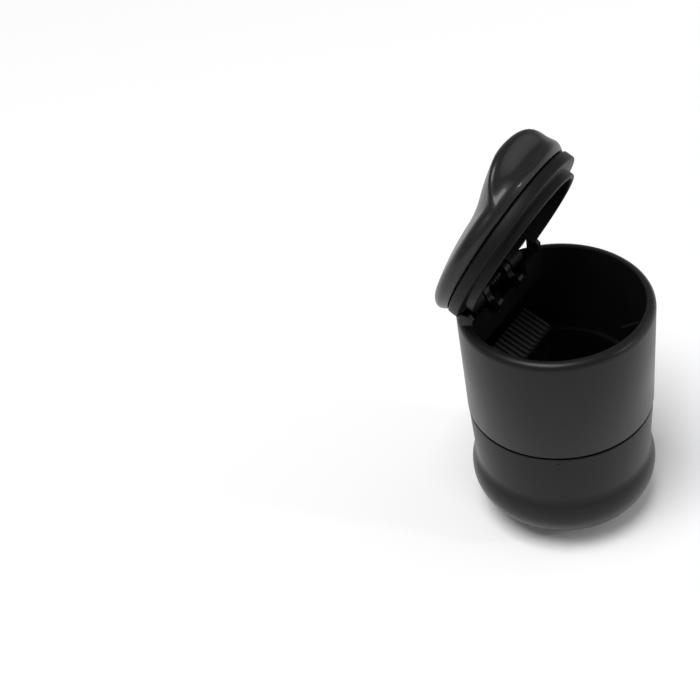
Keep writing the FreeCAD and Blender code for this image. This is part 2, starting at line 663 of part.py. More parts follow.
# Lid spring: a coil round the pin between the lugs, one leg on the hinge wall and one on the lid.
def make_lid_spring():
    spring = doc.addObject("Part::Feature", "lid_spring")
    spring.Label = "lid_spring"
    wire = number("wire_radius")
    coil = number("coil_radius")
    pitch = number("coil_pitch")
    wall_y = number("wire_radius - hinge_wall_gap")
    wall_z = number(WALL_TOP + " - spring_leg_drop - " + HINGE_Z)
    ceiling = COLLAR_TOP + " + " + CEILING_RISE + " - " + CEILING_ROUND
    ceiling += " + sqrt(" + CEILING_ROUND + "^2 - (" + HINGE_Y + " - spring_reach)^2)"
    leg_end = number(ceiling + " - wire_radius - spring_clearance - " + HINGE_Z)
    lid_y, lid_z = opened(-number("spring_reach"), leg_end)
    first = math.atan2(wall_z, wall_y) + math.acos(coil / math.hypot(wall_y, wall_z))
    last = math.atan2(lid_z, lid_y) - math.acos(coil / math.hypot(lid_y, lid_z))
    turning = (last - first) % (2 * math.pi) + 2 * math.pi * number("coil_turns")
    length = pitch * turning / (2 * math.pi)
    helix = Part.makeHelix(pitch, length, coil)
    profile = Part.Wire(Part.makeCircle(wire, FreeCAD.Vector(coil, 0, 0), FreeCAD.Vector(0, 1, 0)))
    turns = Part.Wire(helix.Edges).makePipeShell([profile], True, True)
    turns.rotate(FreeCAD.Vector(), FreeCAD.Vector(0, 0, 1), math.degrees(first) + 90)
    turns.rotate(FreeCAD.Vector(), FreeCAD.Vector(0, 1, 0), 90)
    turns.translate(FreeCAD.Vector(-length / 2, 0, 0))
    cup_leg = leg(-length / 2, coil * math.cos(first), coil * math.sin(first), wall_y, wall_z, wire)
    lid_leg = leg(length / 2, coil * math.cos(last), coil * math.sin(last), lid_y, lid_z, wire)
    whole = turns.fuse([cup_leg, lid_leg])
    whole.translate(FreeCAD.Vector(0, number(HINGE_Y), number(HINGE_Z)))
    spring.Shape = whole
    return spring


fixed = [make_base_cup(), make_cup_body(), make_snuffer_insert(), make_hinge_pin(), make_lid_spring()]
moving = [make_lid_ring(), make_lid_cap()]

# The lid is drawn closed and turned to its open stop about the hinge line.
hinge_point = FreeCAD.Vector(0, number(HINGE_Y), number(HINGE_Z))
opening = FreeCAD.Rotation(FreeCAD.Vector(1, 0, 0), -number("open_angle"))
for piece in moving:
    piece.Placement = FreeCAD.Placement(FreeCAD.Vector(), opening, hinge_point)
doc.recompute()

for item in doc.Objects:
    if "Invalid" in item.State or "Error" in item.State:
        raise RuntimeError("%s did not build: %s" % (item.Name, item.State))
for piece in fixed + moving:
    if piece.Shape.isNull() or not piece.Shape.isValid():
        raise RuntimeError("%s has no valid shape" % piece.Label)

os.makedirs("parts", exist_ok=True)
for piece in fixed + moving:
    piece.Shape.exportStep(os.path.join("parts", piece.Label + ".step"))
    box = piece.Shape.BoundBox
    print("%-16s volume %9.1f  z %.1f..%.1f  solids %d" % (
        piece.Label, piece.Shape.Volume, box.ZMin, box.ZMax, len(piece.Shape.Solids)))
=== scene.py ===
import bpy
import bmesh
import math
import numpy as np
from mathutils import Matrix, Vector


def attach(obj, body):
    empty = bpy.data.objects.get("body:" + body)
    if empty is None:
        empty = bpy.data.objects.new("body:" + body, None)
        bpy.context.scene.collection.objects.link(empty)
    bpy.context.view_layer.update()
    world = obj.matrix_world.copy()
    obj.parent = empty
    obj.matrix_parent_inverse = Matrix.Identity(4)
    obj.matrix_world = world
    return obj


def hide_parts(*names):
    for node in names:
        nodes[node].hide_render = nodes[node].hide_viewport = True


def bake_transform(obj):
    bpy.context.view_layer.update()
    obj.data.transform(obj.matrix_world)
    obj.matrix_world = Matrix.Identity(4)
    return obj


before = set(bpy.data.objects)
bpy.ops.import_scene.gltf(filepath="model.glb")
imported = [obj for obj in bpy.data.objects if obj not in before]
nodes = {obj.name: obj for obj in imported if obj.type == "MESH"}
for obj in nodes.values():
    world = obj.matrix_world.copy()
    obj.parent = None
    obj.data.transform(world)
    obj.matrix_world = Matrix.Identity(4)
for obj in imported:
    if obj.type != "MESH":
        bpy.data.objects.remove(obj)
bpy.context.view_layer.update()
mm = 0.001  # the pieces' sizes are in millimetres
mergeGap = 0.002 * mm

# camera: where it stands round the cup's middle, then how far it is turned off it
shot = dict(azimuth=-60.0, elevation=43.3, distance=591 * mm, aimHeight=42 * mm, turnLeft=7.51, tiltUp=2.55,
            roll=-2.80, focalPixels=1575, framePixels=700, sensorWidth=36, nearClip=10 * mm)


# turned to face the middle from this side
def lookFrom(azimuth, elevation):
    turn = Matrix.Rotation(math.radians(azimuth), 4, "Z")
    return turn @ Matrix.Rotation(math.radians(90 - elevation), 4, "X")


def addCamera(s):
    look = lookFrom(s["azimuth"], s["elevation"])
    place = Vector((0, 0, s["aimHeight"])) + look.to_3x3() @ Vector((0, 0, s["distance"]))
    turn = Matrix.Rotation(math.radians(s["turnLeft"]), 4, "Y")
    turn = turn @ Matrix.Rotation(math.radians(s["tiltUp"]), 4, "X")
    turn = turn @ Matrix.Rotation(math.radians(s["roll"]), 4, "Z")
    cam = bpy.data.cameras.new("studioCamera")
    cam.sensor_width = s["sensorWidth"]
    cam.lens = s["sensorWidth"] * s["focalPixels"] / s["framePixels"]
    cam.clip_start = s["nearClip"]
    camObject = bpy.data.objects.new("studioCamera", cam)
    camObject.matrix_world = Matrix.Translation(place) @ look @ turn
    bpy.context.collection.objects.link(camObject)
    bpy.context.scene.camera = camObject


addCamera(shot)
print("camera in place")


# sRGB hex code to linear colour
def toLinear(code):
    value = [int(code[i:i + 2], 16) / 255 for i in (1, 3, 5)]
    return tuple(c / 12.92 if c <= 0.04045 else ((c + 0.055) / 1.055) ** 2.4 for c in value) + (1.0,)


def addNode(mat, kind, settings=None, links=None):
    node = mat.node_tree.nodes.new(kind)
    for name, value in (settings or {}).items():
        node.inputs[name].default_value = value
    for name, source in (links or {}).items():
        mat.node_tree.links.new(source, node.inputs[name])
    return node


def newMaterial(name):
    mat = bpy.data.materials.new(name)
    mat.use_nodes = True
    mat.node_tree.nodes.clear()
    return mat


# what all mouldings share: detail of the noise, where the two tints lie in it, blur of a polished skin
moulding = dict(cloudDetail=3.0, skinDetail=2.0, deepAt=0.3, paleAt=0.7, polishBlur=0.12)


# moulded plastic: two close tints in soft clouds, a fine skin off the mould, and gloss that drifts a little
def mouldedPlastic(name, p):
    mat = newMaterial(name)
    coords = addNode(mat, "ShaderNodeTexCoord").outputs["Object"]
    cloud = addNode(mat, "ShaderNodeTexNoise",
                    {"Scale": 1 / (p["cloudSize"] * mm), "Detail": moulding["cloudDetail"]}, {"Vector": coords})
    skin = addNode(mat, "ShaderNodeTexNoise",
                   {"Scale": 1 / (p["skinSize"] * mm), "Detail": moulding["skinDetail"]}, {"Vector": coords})
    tint = addNode(mat, "ShaderNodeValToRGB", links={"Fac": cloud.outputs["Fac"]})
    deep, pale = tint.color_ramp.elements
    deep.position, deep.color = moulding["deepAt"], toLinear(p["deepTint"])
    pale.position, pale.color = moulding["paleAt"], toLinear(p["paleTint"])
    gloss = addNode(mat, "ShaderNodeMapRange",
                    {"From Min": moulding["deepAt"], "From Max": moulding["paleAt"],
                     "To Min": p["roughness"][0], "To Max": p["roughness"][1]}, {"Value": cloud.outputs["Fac"]})
    relief = addNode(mat, "ShaderNodeBump", {"Strength": p["skinStrength"], "Distance": p["skinDepth"] * mm},
                     {"Height": skin.outputs["Fac"]})
    shader = addNode(mat, "ShaderNodeBsdfPrincipled",
                     {"IOR": p["ior"], "Specular IOR Level": p["sheen"], "Coat Weight": p["polish"],
                      "Coat Roughness": moulding["polishBlur"]},
                     {"Base Color": tint.outputs["Color"], "Roughness": gloss.outputs["Result"],
                      "Normal": relief.outputs["Normal"]})
    addNode(mat, "ShaderNodeOutputMaterial", links={"Surface": shader.outputs["BSDF"]})
    return mat


# ABS off a fine-sparked mould: charcoal, one soft highlight along the rim, a barely felt grain
satinAbs = mouldedPlastic("satinMouldedAbs", dict(
    deepTint="#121213", paleTint="#171718", cloudSize=26, skinSize=0.35, skinStrength=0.25, skinDepth=0.02,
    roughness=(0.30, 0.36), ior=1.53, sheen=0.20, polish=0.0))
# ABS off a polished mould: near black, a thin clear shine over a soft one, the faint waviness of cooled plastic
glossAbs = mouldedPlastic("polishedMouldedAbs", dict(
    deepTint="#0c0c0d", paleTint="#111112", cloudSize=30, skinSize=5.0, skinStrength=0.12, skinDepth=0.03,
    roughness=(0.40, 0.46), ior=1.53, sheen=0.26, polish=0.28))
# the ring's ABS off a plain steel mould: as black as the cap, with only a broad weak shine
ringAbs = mouldedPlastic("plainMouldedAbs", dict(
    deepTint="#0c0c0d", paleTint="#111112", cloudSize=22, skinSize=0.6, skinStrength=0.15, skinDepth=0.02,
    roughness=(0.48, 0.54), ior=1.53, sheen=0.15, polish=0.0))
# phenolic compression moulding, which stands the heat of a glowing tip: dull and slightly grey
phenolic = mouldedPlastic("mouldedPhenolic", dict(
    deepTint="#171718", paleTint="#1f1f20", cloudSize=9, skinSize=0.5, skinStrength=0.3, skinDepth=0.03,
    roughness=(0.46, 0.56), ior=1.60, sheen=0.3, polish=0.0))


# drawn steel: fine draw marks that run lengthwise, along the pin
def drawnSteel(name, p):
    mat = newMaterial(name)
    coords = addNode(mat, "ShaderNodeTexCoord").outputs["Object"]
    along = addNode(mat, "ShaderNodeMapping", {"Scale": (p["stretch"], 1.0, 1.0)}, {"Vector": coords})
    marks = addNode(mat, "ShaderNodeTexNoise", {"Scale": 1 / (p["markWidth"] * mm), "Detail": p["markDetail"]},
                    {"Vector": along.outputs["Vector"]})
    tint = addNode(mat, "ShaderNodeValToRGB", links={"Fac": marks.outputs["Fac"]})
    deep, pale = tint.color_ramp.elements
    deep.color = toLinear(p["deepTint"])
    pale.color = toLinear(p["paleTint"])
    gloss = addNode(mat, "ShaderNodeMapRange", {"To Min": p["roughness"][0], "To Max": p["roughness"][1]},
                    {"Value": marks.outputs["Fac"]})
    shader = addNode(mat, "ShaderNodeBsdfPrincipled", {"Metallic": 1.0},
                     {"Base Color": tint.outputs["Color"], "Roughness": gloss.outputs["Result"]})
    addNode(mat, "ShaderNodeOutputMaterial", links={"Surface": shader.outputs["BSDF"]})
    return mat


# oil-tempered after drawing: a dark brown-grey skin that glints on the coils
steel = drawnSteel("oilTemperedSteel", dict(
    deepTint="#1e1d1c", paleTint="#32312f", markWidth=0.2, markDetail=2.0, stretch=0.15, roughness=(0.22, 0.38)))
print("materials made")

# every solid gets the finish of its piece; the pin is the one that stays in view
finishes = dict(base_cup=satinAbs, cup_body=satinAbs, snuffer_insert=phenolic, lid_ring=ringAbs,
                lid_cap=glossAbs, hinge_pin=steel, lid_spring=steel)
for name, obj in nodes.items():
    obj.data.materials.clear()
    obj.data.materials.append(finishes[name])

# hinge line and opening angle, shared by what moves with the lid
hinge = dict(y=25.4, z=94.7, openAngle=63.0)
# steps in a rounded corner of a spun outline
cornerSteps = dict(fewest=3, perMm=1.6)


# closed outline in the XZ plane, its corners rounded, spun about the cup's axis
def spinSection(corners, turns):
    bm = bmesh.new()
    rounds = {}
    loop = []
    for radius, height, soft in corners:
        vert = bm.verts.new((radius * mm, 0, height * mm))
        loop.append(vert)
        if soft:
            rounds.setdefault(soft, []).append(vert)
    bm.faces.new(loop)
    for soft, verts in rounds.items():
        steps = max(cornerSteps["fewest"], round(soft * cornerSteps["perMm"]))
        bmesh.ops.bevel(bm, geom=verts, offset=soft * mm, segments=steps, profile=0.5, affect="VERTICES",
                        material=-1)
    bmesh.ops.delete(bm, geom=bm.faces[:], context="FACES_ONLY")
    bmesh.ops.spin(bm, geom=bm.verts[:] + bm.edges[:], cent=(0, 0, 0), axis=(0, 0, 1),
                   angle=math.tau, steps=turns, use_merge=True)
    return bm


# a block between two corners, its edges rounded
def addBlock(bm, low, high, soft=0.0, segments=2):
    size = [(high[i] - low[i]) * mm for i in range(3)]
    middle = [(high[i] + low[i]) / 2 * mm for i in range(3)]
    place = Matrix.Translation(middle) @ Matrix.Diagonal(size + [1.0])
    made = bmesh.ops.create_cube(bm, size=1.0, matrix=place)
    if soft:
        edges = list({edge for vert in made["verts"] for edge in vert.link_edges})
        bmesh.ops.bevel(bm, geom=edges, offset=soft * mm, segments=segments, profile=0.5, affect="EDGES",
                        material=-1)


# a rod across the hinge, from left to right
def addRod(bm, radius, left, right, y, z, sides=48):
    place = Matrix.Translation(((left + right) / 2 * mm, y * mm, z * mm))
    bmesh.ops.create_cone(bm, cap_ends=True, segments=sides, radius1=radius * mm, radius2=radius * mm,
                          depth=(right - left) * mm, matrix=place @ Matrix.Rotation(math.pi / 2, 4, "Y"))


# a plate with its outline seen from the side, as thick as the two ends are apart
def addPlate(bm, outline, left, right):
    loop = [bm.verts.new((left * mm, y * mm, z * mm)) for y, z in outline]
    side = bm.faces.new(loop)
    grown = bmesh.ops.extrude_face_region(bm, geom=[side])
    fresh = [item for item in grown["geom"] if isinstance(item, bmesh.types.BMVert)]
    bmesh.ops.translate(bm, verts=fresh, vec=((right - left) * mm, 0, 0))
    return loop + fresh


# left and right end of what stands on one side of the middle
def endsOn(side, near, far):
    return sorted((side * near, side * far))


def toObject(bm, name):
    bmesh.ops.remove_doubles(bm, verts=bm.verts[:], dist=mergeGap)
    bmesh.ops.recalc_face_normals(bm, faces=bm.faces[:])
    mesh = bpy.data.meshes.new(name)
    bm.to_mesh(mesh)
    bm.free()
    obj = bpy.data.objects.new(name, mesh)
    bpy.context.collection.objects.link(obj)
    return obj


# joins a tool to the piece or cuts it away, and keeps the result as plain mesh
def carve(piece, tool, operation):
    step = piece.modifiers.new("carve", "BOOLEAN")
    step.operation = operation
    step.solver = "EXACT"
    step.object = tool
    graph = bpy.context.evaluated_depsgraph_get()
    done = bpy.data.meshes.new_from_object(piece.evaluated_get(graph))
    piece.modifiers.clear()
    piece.data = done
    bpy.data.objects.remove(tool)


# a mould leaves no knife edges: the sharp ones are rounded off
def softenEdges(piece, width, sharpFrom=40, flatBelow=1):
    bm = bmesh.new()
    bm.from_mesh(piece.data)
    bmesh.ops.remove_doubles(bm, verts=bm.verts[:], dist=mergeGap)
    bmesh.ops.dissolve_limit(bm, angle_limit=math.radians(flatBelow), verts=bm.verts[:], edges=bm.edges[:])
    sharp = [e for e in bm.edges if e.is_manifold and e.calc_face_angle() > math.radians(sharpFrom)]
    bmesh.ops.bevel(bm, geom=sharp, offset=width * mm, segments=2, profile=0.5, affect="EDGES", material=-1,
                    clamp_overlap=True)
    bm.to_mesh(piece.data)
    bm.free()


# the lid's pieces are made closed and then swung to the open stop
def turnOpen(piece):
    bm = bmesh.new()
    bm.from_mesh(piece.data)
    bmesh.ops.rotate(bm, verts=bm.verts[:], cent=(0, hinge["y"] * mm, hinge["z"] * mm),
                     matrix=Matrix.Rotation(-math.radians(hinge["openAngle"]), 3, "X"))
    bm.to_mesh(piece.data)
    bm.free()


def finishSurface(piece, mat, sharpAngle):
    piece.data.materials.clear()
    piece.data.materials.append(mat)
    piece.data.shade_smooth()
    piece.data.set_sharp_from_angle(angle=math.radians(sharpAngle))
    print(piece.name, "made,", len(piece.data.polygons), "faces")


def dress(piece, mat, body, node, sharpAngle=32):
    finishSurface(piece, mat, sharpAngle)
    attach(piece, body)
    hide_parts(node)


# base: bowl on a short foot, soft bead, neck, and the spigot inside the shell
bowl = dict(turns=160, foot=22.0, footRound=0.8, bowlStart=4.42, bulge=34.4, bowlCorner=6.6, bowlRound=12.58,
            beadTop=22.6, beadRound=2.4, neck=32.6, neckHeight=26.6, neckRound=1.9, top=33.8, seam=50.4,
            groove=1.2, grooveDepth=0.9, edgeRound=0.3, spigot=30.95, spigotTop=56.4, spigotInner=28.95,
            spigotRoot=48.4, wallInner=30.1, wallTop=44.4, bulgeInner=31.8, bulgeHeight=19.2, bowlInner=31.4,
            bowlInnerLow=8.0, floorRound=9.0, floorRadius=20.78, floorHeight=7.6,
            pip=0.9, pipAngle=206.5, pipHeight=46.8, pipRadius=33.27, pipTurns=24, pipRows=16)


def makeBase(b):
    grooveLow = b["seam"] - b["groove"]
    grooveFloor = b["top"] - b["grooveDepth"]
    bm = spinSection([
        (0, 0, 0), (b["foot"], 0, b["footRound"]), (b["foot"], b["bowlStart"], 0),
        (b["bulge"], b["bowlCorner"], b["bowlRound"]), (b["bulge"], b["beadTop"], b["beadRound"]),
        (b["neck"], b["neckHeight"], b["neckRound"]), (b["top"], grooveLow, b["edgeRound"]),
        (grooveFloor, grooveLow, 0), (grooveFloor, b["seam"], 0),
        (b["spigot"], b["seam"], 0), (b["spigot"], b["spigotTop"], 0),
        (b["spigotInner"], b["spigotTop"], 0), (b["spigotInner"], b["spigotRoot"], 0),
        (b["wallInner"], b["wallTop"], 0), (b["wallInner"], b["neckHeight"], 0),
        (b["bulgeInner"], b["bulgeHeight"], 0), (b["bowlInner"], b["bowlInnerLow"], b["floorRound"]),
        (b["floorRadius"], b["floorHeight"], 0), (0, b["floorHeight"], 0)], b["turns"])
    turn = math.radians(b["pipAngle"])  # the small pip under the seam
    place = Vector((b["pipRadius"] * math.cos(turn), b["pipRadius"] * math.sin(turn), b["pipHeight"])) * mm
    bmesh.ops.create_uvsphere(bm, u_segments=b["pipTurns"], v_segments=b["pipRows"], radius=b["pip"] * mm,
                              matrix=Matrix.Translation(place))
    dress(toObject(bm, "baseBowl"), satinAbs, "cup", "base_cup")


makeBase(bowl)

# shell: tapered tube with a rolled rim, the back of the rim dipped so that the lid can swing down behind it
shell = dict(turns=192, seam=50.4, seamOuter=34.0, seamInner=31.0, rim=35.0, rimRound=2.9, top=94.5,
             rimInner=31.4, innerRound=0.8, edgeRound=0.3, dipTurns=160, dipBack=20.8, dipHalf=23.0, dipLow=86.64,
             finInner=24.4, finOuter=32.4, finTop=73.5, finHeight=11.0, finThick=1.0, finAngles=(-40.0, -65.0))


def makeShell(c):
    bm = spinSection([
        (c["seamInner"], c["seam"], 0), (c["seamOuter"], c["seam"], c["edgeRound"]),
        (c["rim"], c["top"], c["rimRound"]), (c["rimInner"], c["top"], c["innerRound"])], c["turns"])
    piece = toObject(bm, "cupShell")
    drop = c["top"] - c["dipLow"]
    swing = (c["dipHalf"] ** 2 + drop ** 2) / (2 * drop)  # radius of the arc through the dip's ends and low point
    bm = bmesh.new()
    place = Matrix.Translation((0, (c["dipBack"] + c["rim"]) * mm, (c["dipLow"] + swing) * mm))
    bmesh.ops.create_cone(bm, cap_ends=True, segments=c["dipTurns"], radius1=swing * mm, radius2=swing * mm,
                          depth=2 * c["rim"] * mm, matrix=place @ Matrix.Rotation(math.pi / 2, 4, "X"))
    carve(piece, toObject(bm, "backDip"), "DIFFERENCE")
    for angle in c["finAngles"]:  # rests that reach in from the wall
        bm = bmesh.new()
        verts = addPlate(bm, [(c["finInner"], c["finTop"]), (c["finInner"], c["finTop"] - c["finThick"]),
                              (c["finOuter"], c["finTop"] - c["finHeight"]), (c["finOuter"], c["finTop"])],
                         -c["finThick"] / 2, c["finThick"] / 2)
        bmesh.ops.rotate(bm, verts=verts, cent=(0, 0, 0),
                         matrix=Matrix.Rotation(math.radians(angle - 90), 3, "Z"))
        carve(piece, toObject(bm, "restFin"), "UNION")
    dress(piece, satinAbs, "cup", "cup_body")


makeShell(shell)

# hinge bridge, moulded with the shell: shelf and wall across the back, wings, cheeks and the two pin lugs
bridge = dict(turns=128, front=19.0, back=20.8, shelfLow=82.5, shelfTop=84.5, wallTop=90.3, reach=31.7,
              wingStart=13.4, wingEnd=25.2, wingTop=94.2, cheekIn=23.0, cheekOut=24.8, cheekBack=24.0,
              cheekTop=98.6, cheekFront=97.0, cheekSlope=1.6, lugIn=5.9, lugOut=8.9, lugFoot=25.3, lugLow=83.5,
              boss=3.0, nose=1.8, noseHeight=92.4, noseRoot=86.7, seat=1.25, seatEnd=9.9, soft=0.28)


def makeBridge(b):
    bm = bmesh.new()
    middle = Matrix.Translation((0, 0, (b["shelfLow"] + b["shelfTop"]) / 2 * mm))
    bmesh.ops.create_cone(bm, cap_ends=True, segments=b["turns"], radius1=b["reach"] * mm,
                          radius2=b["reach"] * mm, depth=(b["shelfTop"] - b["shelfLow"]) * mm, matrix=middle)
    cut = bmesh.ops.bisect_plane(bm, geom=bm.verts[:] + bm.edges[:] + bm.faces[:],
                                 plane_co=(0, b["front"] * mm, 0), plane_no=(0, 1, 0), clear_inner=True)
    bmesh.ops.contextual_create(bm, geom=[e for e in cut["geom_cut"] if isinstance(e, bmesh.types.BMEdge)])
    piece = toObject(bm, "hingeBridge")
    half = math.sqrt(b["reach"] ** 2 - b["back"] ** 2)
    blocks = [((-half, b["front"], b["shelfLow"]), (half, b["back"], b["wallTop"]))]
    for side in (-1, 1):
        left, right = endsOn(side, b["wingStart"], b["wingEnd"])
        blocks.append(((left, b["front"], b["shelfTop"]), (right, b["back"], b["wingTop"])))
    for low, high in blocks:
        bm = bmesh.new()
        addBlock(bm, low, high)
        carve(piece, toObject(bm, "bridgeWall"), "UNION")
    root = (b["front"] + b["back"]) / 2
    for side in (-1, 1):
        left, right = endsOn(side, b["cheekIn"], b["cheekOut"])
        bm = bmesh.new()
        addPlate(bm, [(b["front"], b["shelfTop"]), (b["cheekBack"], b["shelfTop"]),
                      (b["cheekBack"], b["cheekTop"]), (b["front"] + b["cheekSlope"], b["cheekTop"]),
                      (b["front"], b["cheekFront"])], left, right)
        carve(piece, toObject(bm, "cheek"), "UNION")
        left, right = endsOn(side, b["lugIn"], b["lugOut"])
        bm = bmesh.new()
        addPlate(bm, [(root, b["lugLow"]), (b["lugFoot"], b["lugLow"]),
                      (hinge["y"] + b["boss"], hinge["z"]), (hinge["y"] - b["boss"], hinge["z"]),
                      (b["front"] + b["nose"], b["noseHeight"]), (b["front"] - b["nose"], b["noseHeight"]),
                      (root, b["noseRoot"])], left, right)
        carve(piece, toObject(bm, "lug"), "UNION")
        for radius, y, z in ((b["boss"], hinge["y"], hinge["z"]), (b["nose"], b["front"], b["noseHeight"])):
            bm = bmesh.new()
            addRod(bm, radius, left, right, y, z)
            carve(piece, toObject(bm, "lugRound"), "UNION")
    bm = bmesh.new()
    addRod(bm, b["seat"], -b["seatEnd"], b["seatEnd"], hinge["y"], hinge["z"])
    carve(piece, toObject(bm, "pinSeat"), "DIFFERENCE")
    softenEdges(piece, b["soft"])
    dress(piece, satinAbs, "cup", "cup_body")


makeBridge(bridge)

# snuffer: hollow column, sloping ribbed ramp to stub a tip out on, and a grooved foot plate
snuffer = dict(front=10.57, back=18.57, halfFoot=14.2, halfTop=12.3, wall=2.0, floor=7.6, rampLow=69.6,
               rampHigh=74.2, rampFront=9.47, rampBack=20.37, rampHalf=12.9, rampThick=2.2, ribs=11, ribPitch=2.35,
               ribWidth=1.2, ribRise=1.1, ribRound=0.42, ribSteps=3, ribInset=0.05, plateFront=1.57,
               plateHalf=16.6, plateThick=1.6, grooves=2, grooveWidth=0.8, grooveDepth=0.7, grooveInner=5.8,
               grooveSpacing=1.6, grooveInset=0.01, overrun=1.0, soft=0.25)


def makeSnuffer(c):
    slope = (c["rampHigh"] - c["rampLow"]) / (c["rampBack"] - c["rampFront"])

    def lean(bm):  # the ramp rises towards the hinge
        for vert in bm.verts:
            vert.co.z += slope * (vert.co.y - c["rampFront"] * mm)

    bm = bmesh.new()
    addBlock(bm, (-c["halfFoot"], c["front"], c["floor"]), (c["halfFoot"], c["back"], c["rampLow"]))
    high = [vert for vert in bm.verts if vert.co.z > c["rampLow"] * mm / 2]
    bmesh.ops.scale(bm, vec=(c["halfTop"] / c["halfFoot"], 1, 1), verts=high)
    behind = [max(bm.faces, key=lambda face: face.calc_center_median().y)]  # the column is open at the back
    bmesh.ops.inset_individual(bm, faces=behind, thickness=c["wall"] * mm, depth=0)
    bmesh.ops.translate(bm, verts=behind[0].verts[:], vec=(0, (c["wall"] - c["back"] + c["front"]) * mm, 0))
    piece = toObject(bm, "snufferInsert")
    bm = bmesh.new()
    addBlock(bm, (-c["rampHalf"], c["rampFront"], c["rampLow"] - c["rampThick"]),
             (c["rampHalf"], c["rampBack"], c["rampLow"]), c["soft"])
    lean(bm)
    carve(piece, toObject(bm, "ramp"), "UNION")
    bm = bmesh.new()
    for step in range(c["ribs"]):
        middle = (step - (c["ribs"] - 1) / 2) * c["ribPitch"]
        low = (middle - c["ribWidth"] / 2, c["rampFront"] + c["ribInset"], c["rampLow"] - c["rampThick"] / 2)
        high = (middle + c["ribWidth"] / 2, c["rampBack"] - c["ribInset"], c["rampLow"] + c["ribRise"])
        addBlock(bm, low, high, c["ribRound"], c["ribSteps"])
    lean(bm)
    carve(piece, toObject(bm, "rampRibs"), "UNION")
    plateTop = c["floor"] + c["plateThick"]
    bm = bmesh.new()
    addBlock(bm, (-c["plateHalf"], c["plateFront"], c["floor"]),
             (c["plateHalf"], c["front"] + c["wall"], plateTop))
    rear = [vert for vert in bm.verts if vert.co.y > c["front"] * mm]
    bmesh.ops.scale(bm, vec=(c["halfFoot"] / c["plateHalf"], 1, 1), verts=rear)
    carve(piece, toObject(bm, "footPlate"), "UNION")
    bm = bmesh.new()
    for side in (-1, 1):
        for step in range(c["grooves"]):
            near = c["grooveInner"] + step * c["grooveSpacing"]
            left, right = endsOn(side, near, near + c["grooveWidth"])
            addBlock(bm, (left, c["plateFront"] - c["overrun"], plateTop - c["grooveDepth"]),
                     (right, c["front"] - c["grooveInset"], plateTop + c["overrun"]))
    carve(piece, toObject(bm, "footGrooves"), "DIFFERENCE")
    dress(piece, phenolic, "cup", "snuffer_insert")


makeSnuffer(snuffer)

# lid spring: a coil round the pin with one leg on the hinge wall and one under the cap, wound as the lid closes
spring = dict(wire=0.4, coil=2.2, turns=4.1, pitch=1.5, startAngle=-52.5, wallLeg=(-4.2, -6.0),
              lidLeg=(6.21, 13.27), steps=160, sides=12, sharpAngle=50)


def makeSpring(c):
    length = c["pitch"] * c["turns"]
    centre = Vector((0, hinge["y"] * mm, hinge["z"] * mm))
    start = math.radians(c["startAngle"])
    stop = start + c["turns"] * math.tau
    bm = bmesh.new()
    place = Vector((-length / 2, c["coil"] * math.cos(start), c["coil"] * math.sin(start))) * mm
    circle = bmesh.ops.create_circle(bm, cap_ends=False, radius=c["wire"] * mm, segments=c["sides"],
                                     matrix=Matrix.Translation(place) @ Matrix.Rotation(start, 4, "X"))
    wire = circle["verts"] + list({edge for vert in circle["verts"] for edge in vert.link_edges})
    bmesh.ops.spin(bm, geom=wire, cent=(0, 0, 0), axis=(1, 0, 0), dvec=(length / c["steps"] * mm, 0, 0),
                   angle=c["turns"] * math.tau, steps=c["steps"])
    for x, angle, foot in ((-length / 2, start, c["wallLeg"]), (length / 2, stop, c["lidLeg"])):
        root = Vector((x, c["coil"] * math.cos(angle), c["coil"] * math.sin(angle))) * mm
        tip = Vector((x, foot[0], foot[1])) * mm
        aim = (tip - root).to_track_quat("Z", "Y").to_matrix().to_4x4()
        bmesh.ops.create_cone(bm, cap_ends=True, segments=c["sides"], radius1=c["wire"] * mm,
                              radius2=c["wire"] * mm, depth=(tip - root).length,
                              matrix=Matrix.Translation((root + tip) / 2) @ aim)
    bmesh.ops.holes_fill(bm, edges=[edge for edge in bm.edges if edge.is_boundary], sides=c["sides"])
    bmesh.ops.translate(bm, verts=bm.verts[:], vec=centre)
    piece = toObject(bm, "windingSpring")
    finishSurface(piece, steel, c["sharpAngle"])
    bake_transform(piece)
    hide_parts("lid_spring")


makeSpring(spring)

# lid ring: band over the rim, lip inside it and collar under the cap, cut away round the hinge
ring = dict(turns=192, inner=27.5, lip=29.2, lipLow=91.4, lipRound=0.7, lipRoot=0.4, band=34.0, bandLow=94.8,
            bandTop=99.0, bandRound=0.75, collar=30.6, collarTop=103.8, collarRound=0.5, lipBack=18.4,
            lipCutLow=86.4, lipCutTop=94.75, bayHalf=9.8, bayFront=15.0, bayBack=29.6, bayTop=198.0,
            slotStart=22.6, slotFront=18.0, slotBack=24.4, slotTop=98.95, knuckle=3.0, knuckleWidth=7.6, bore=1.31,
            far=60.0)


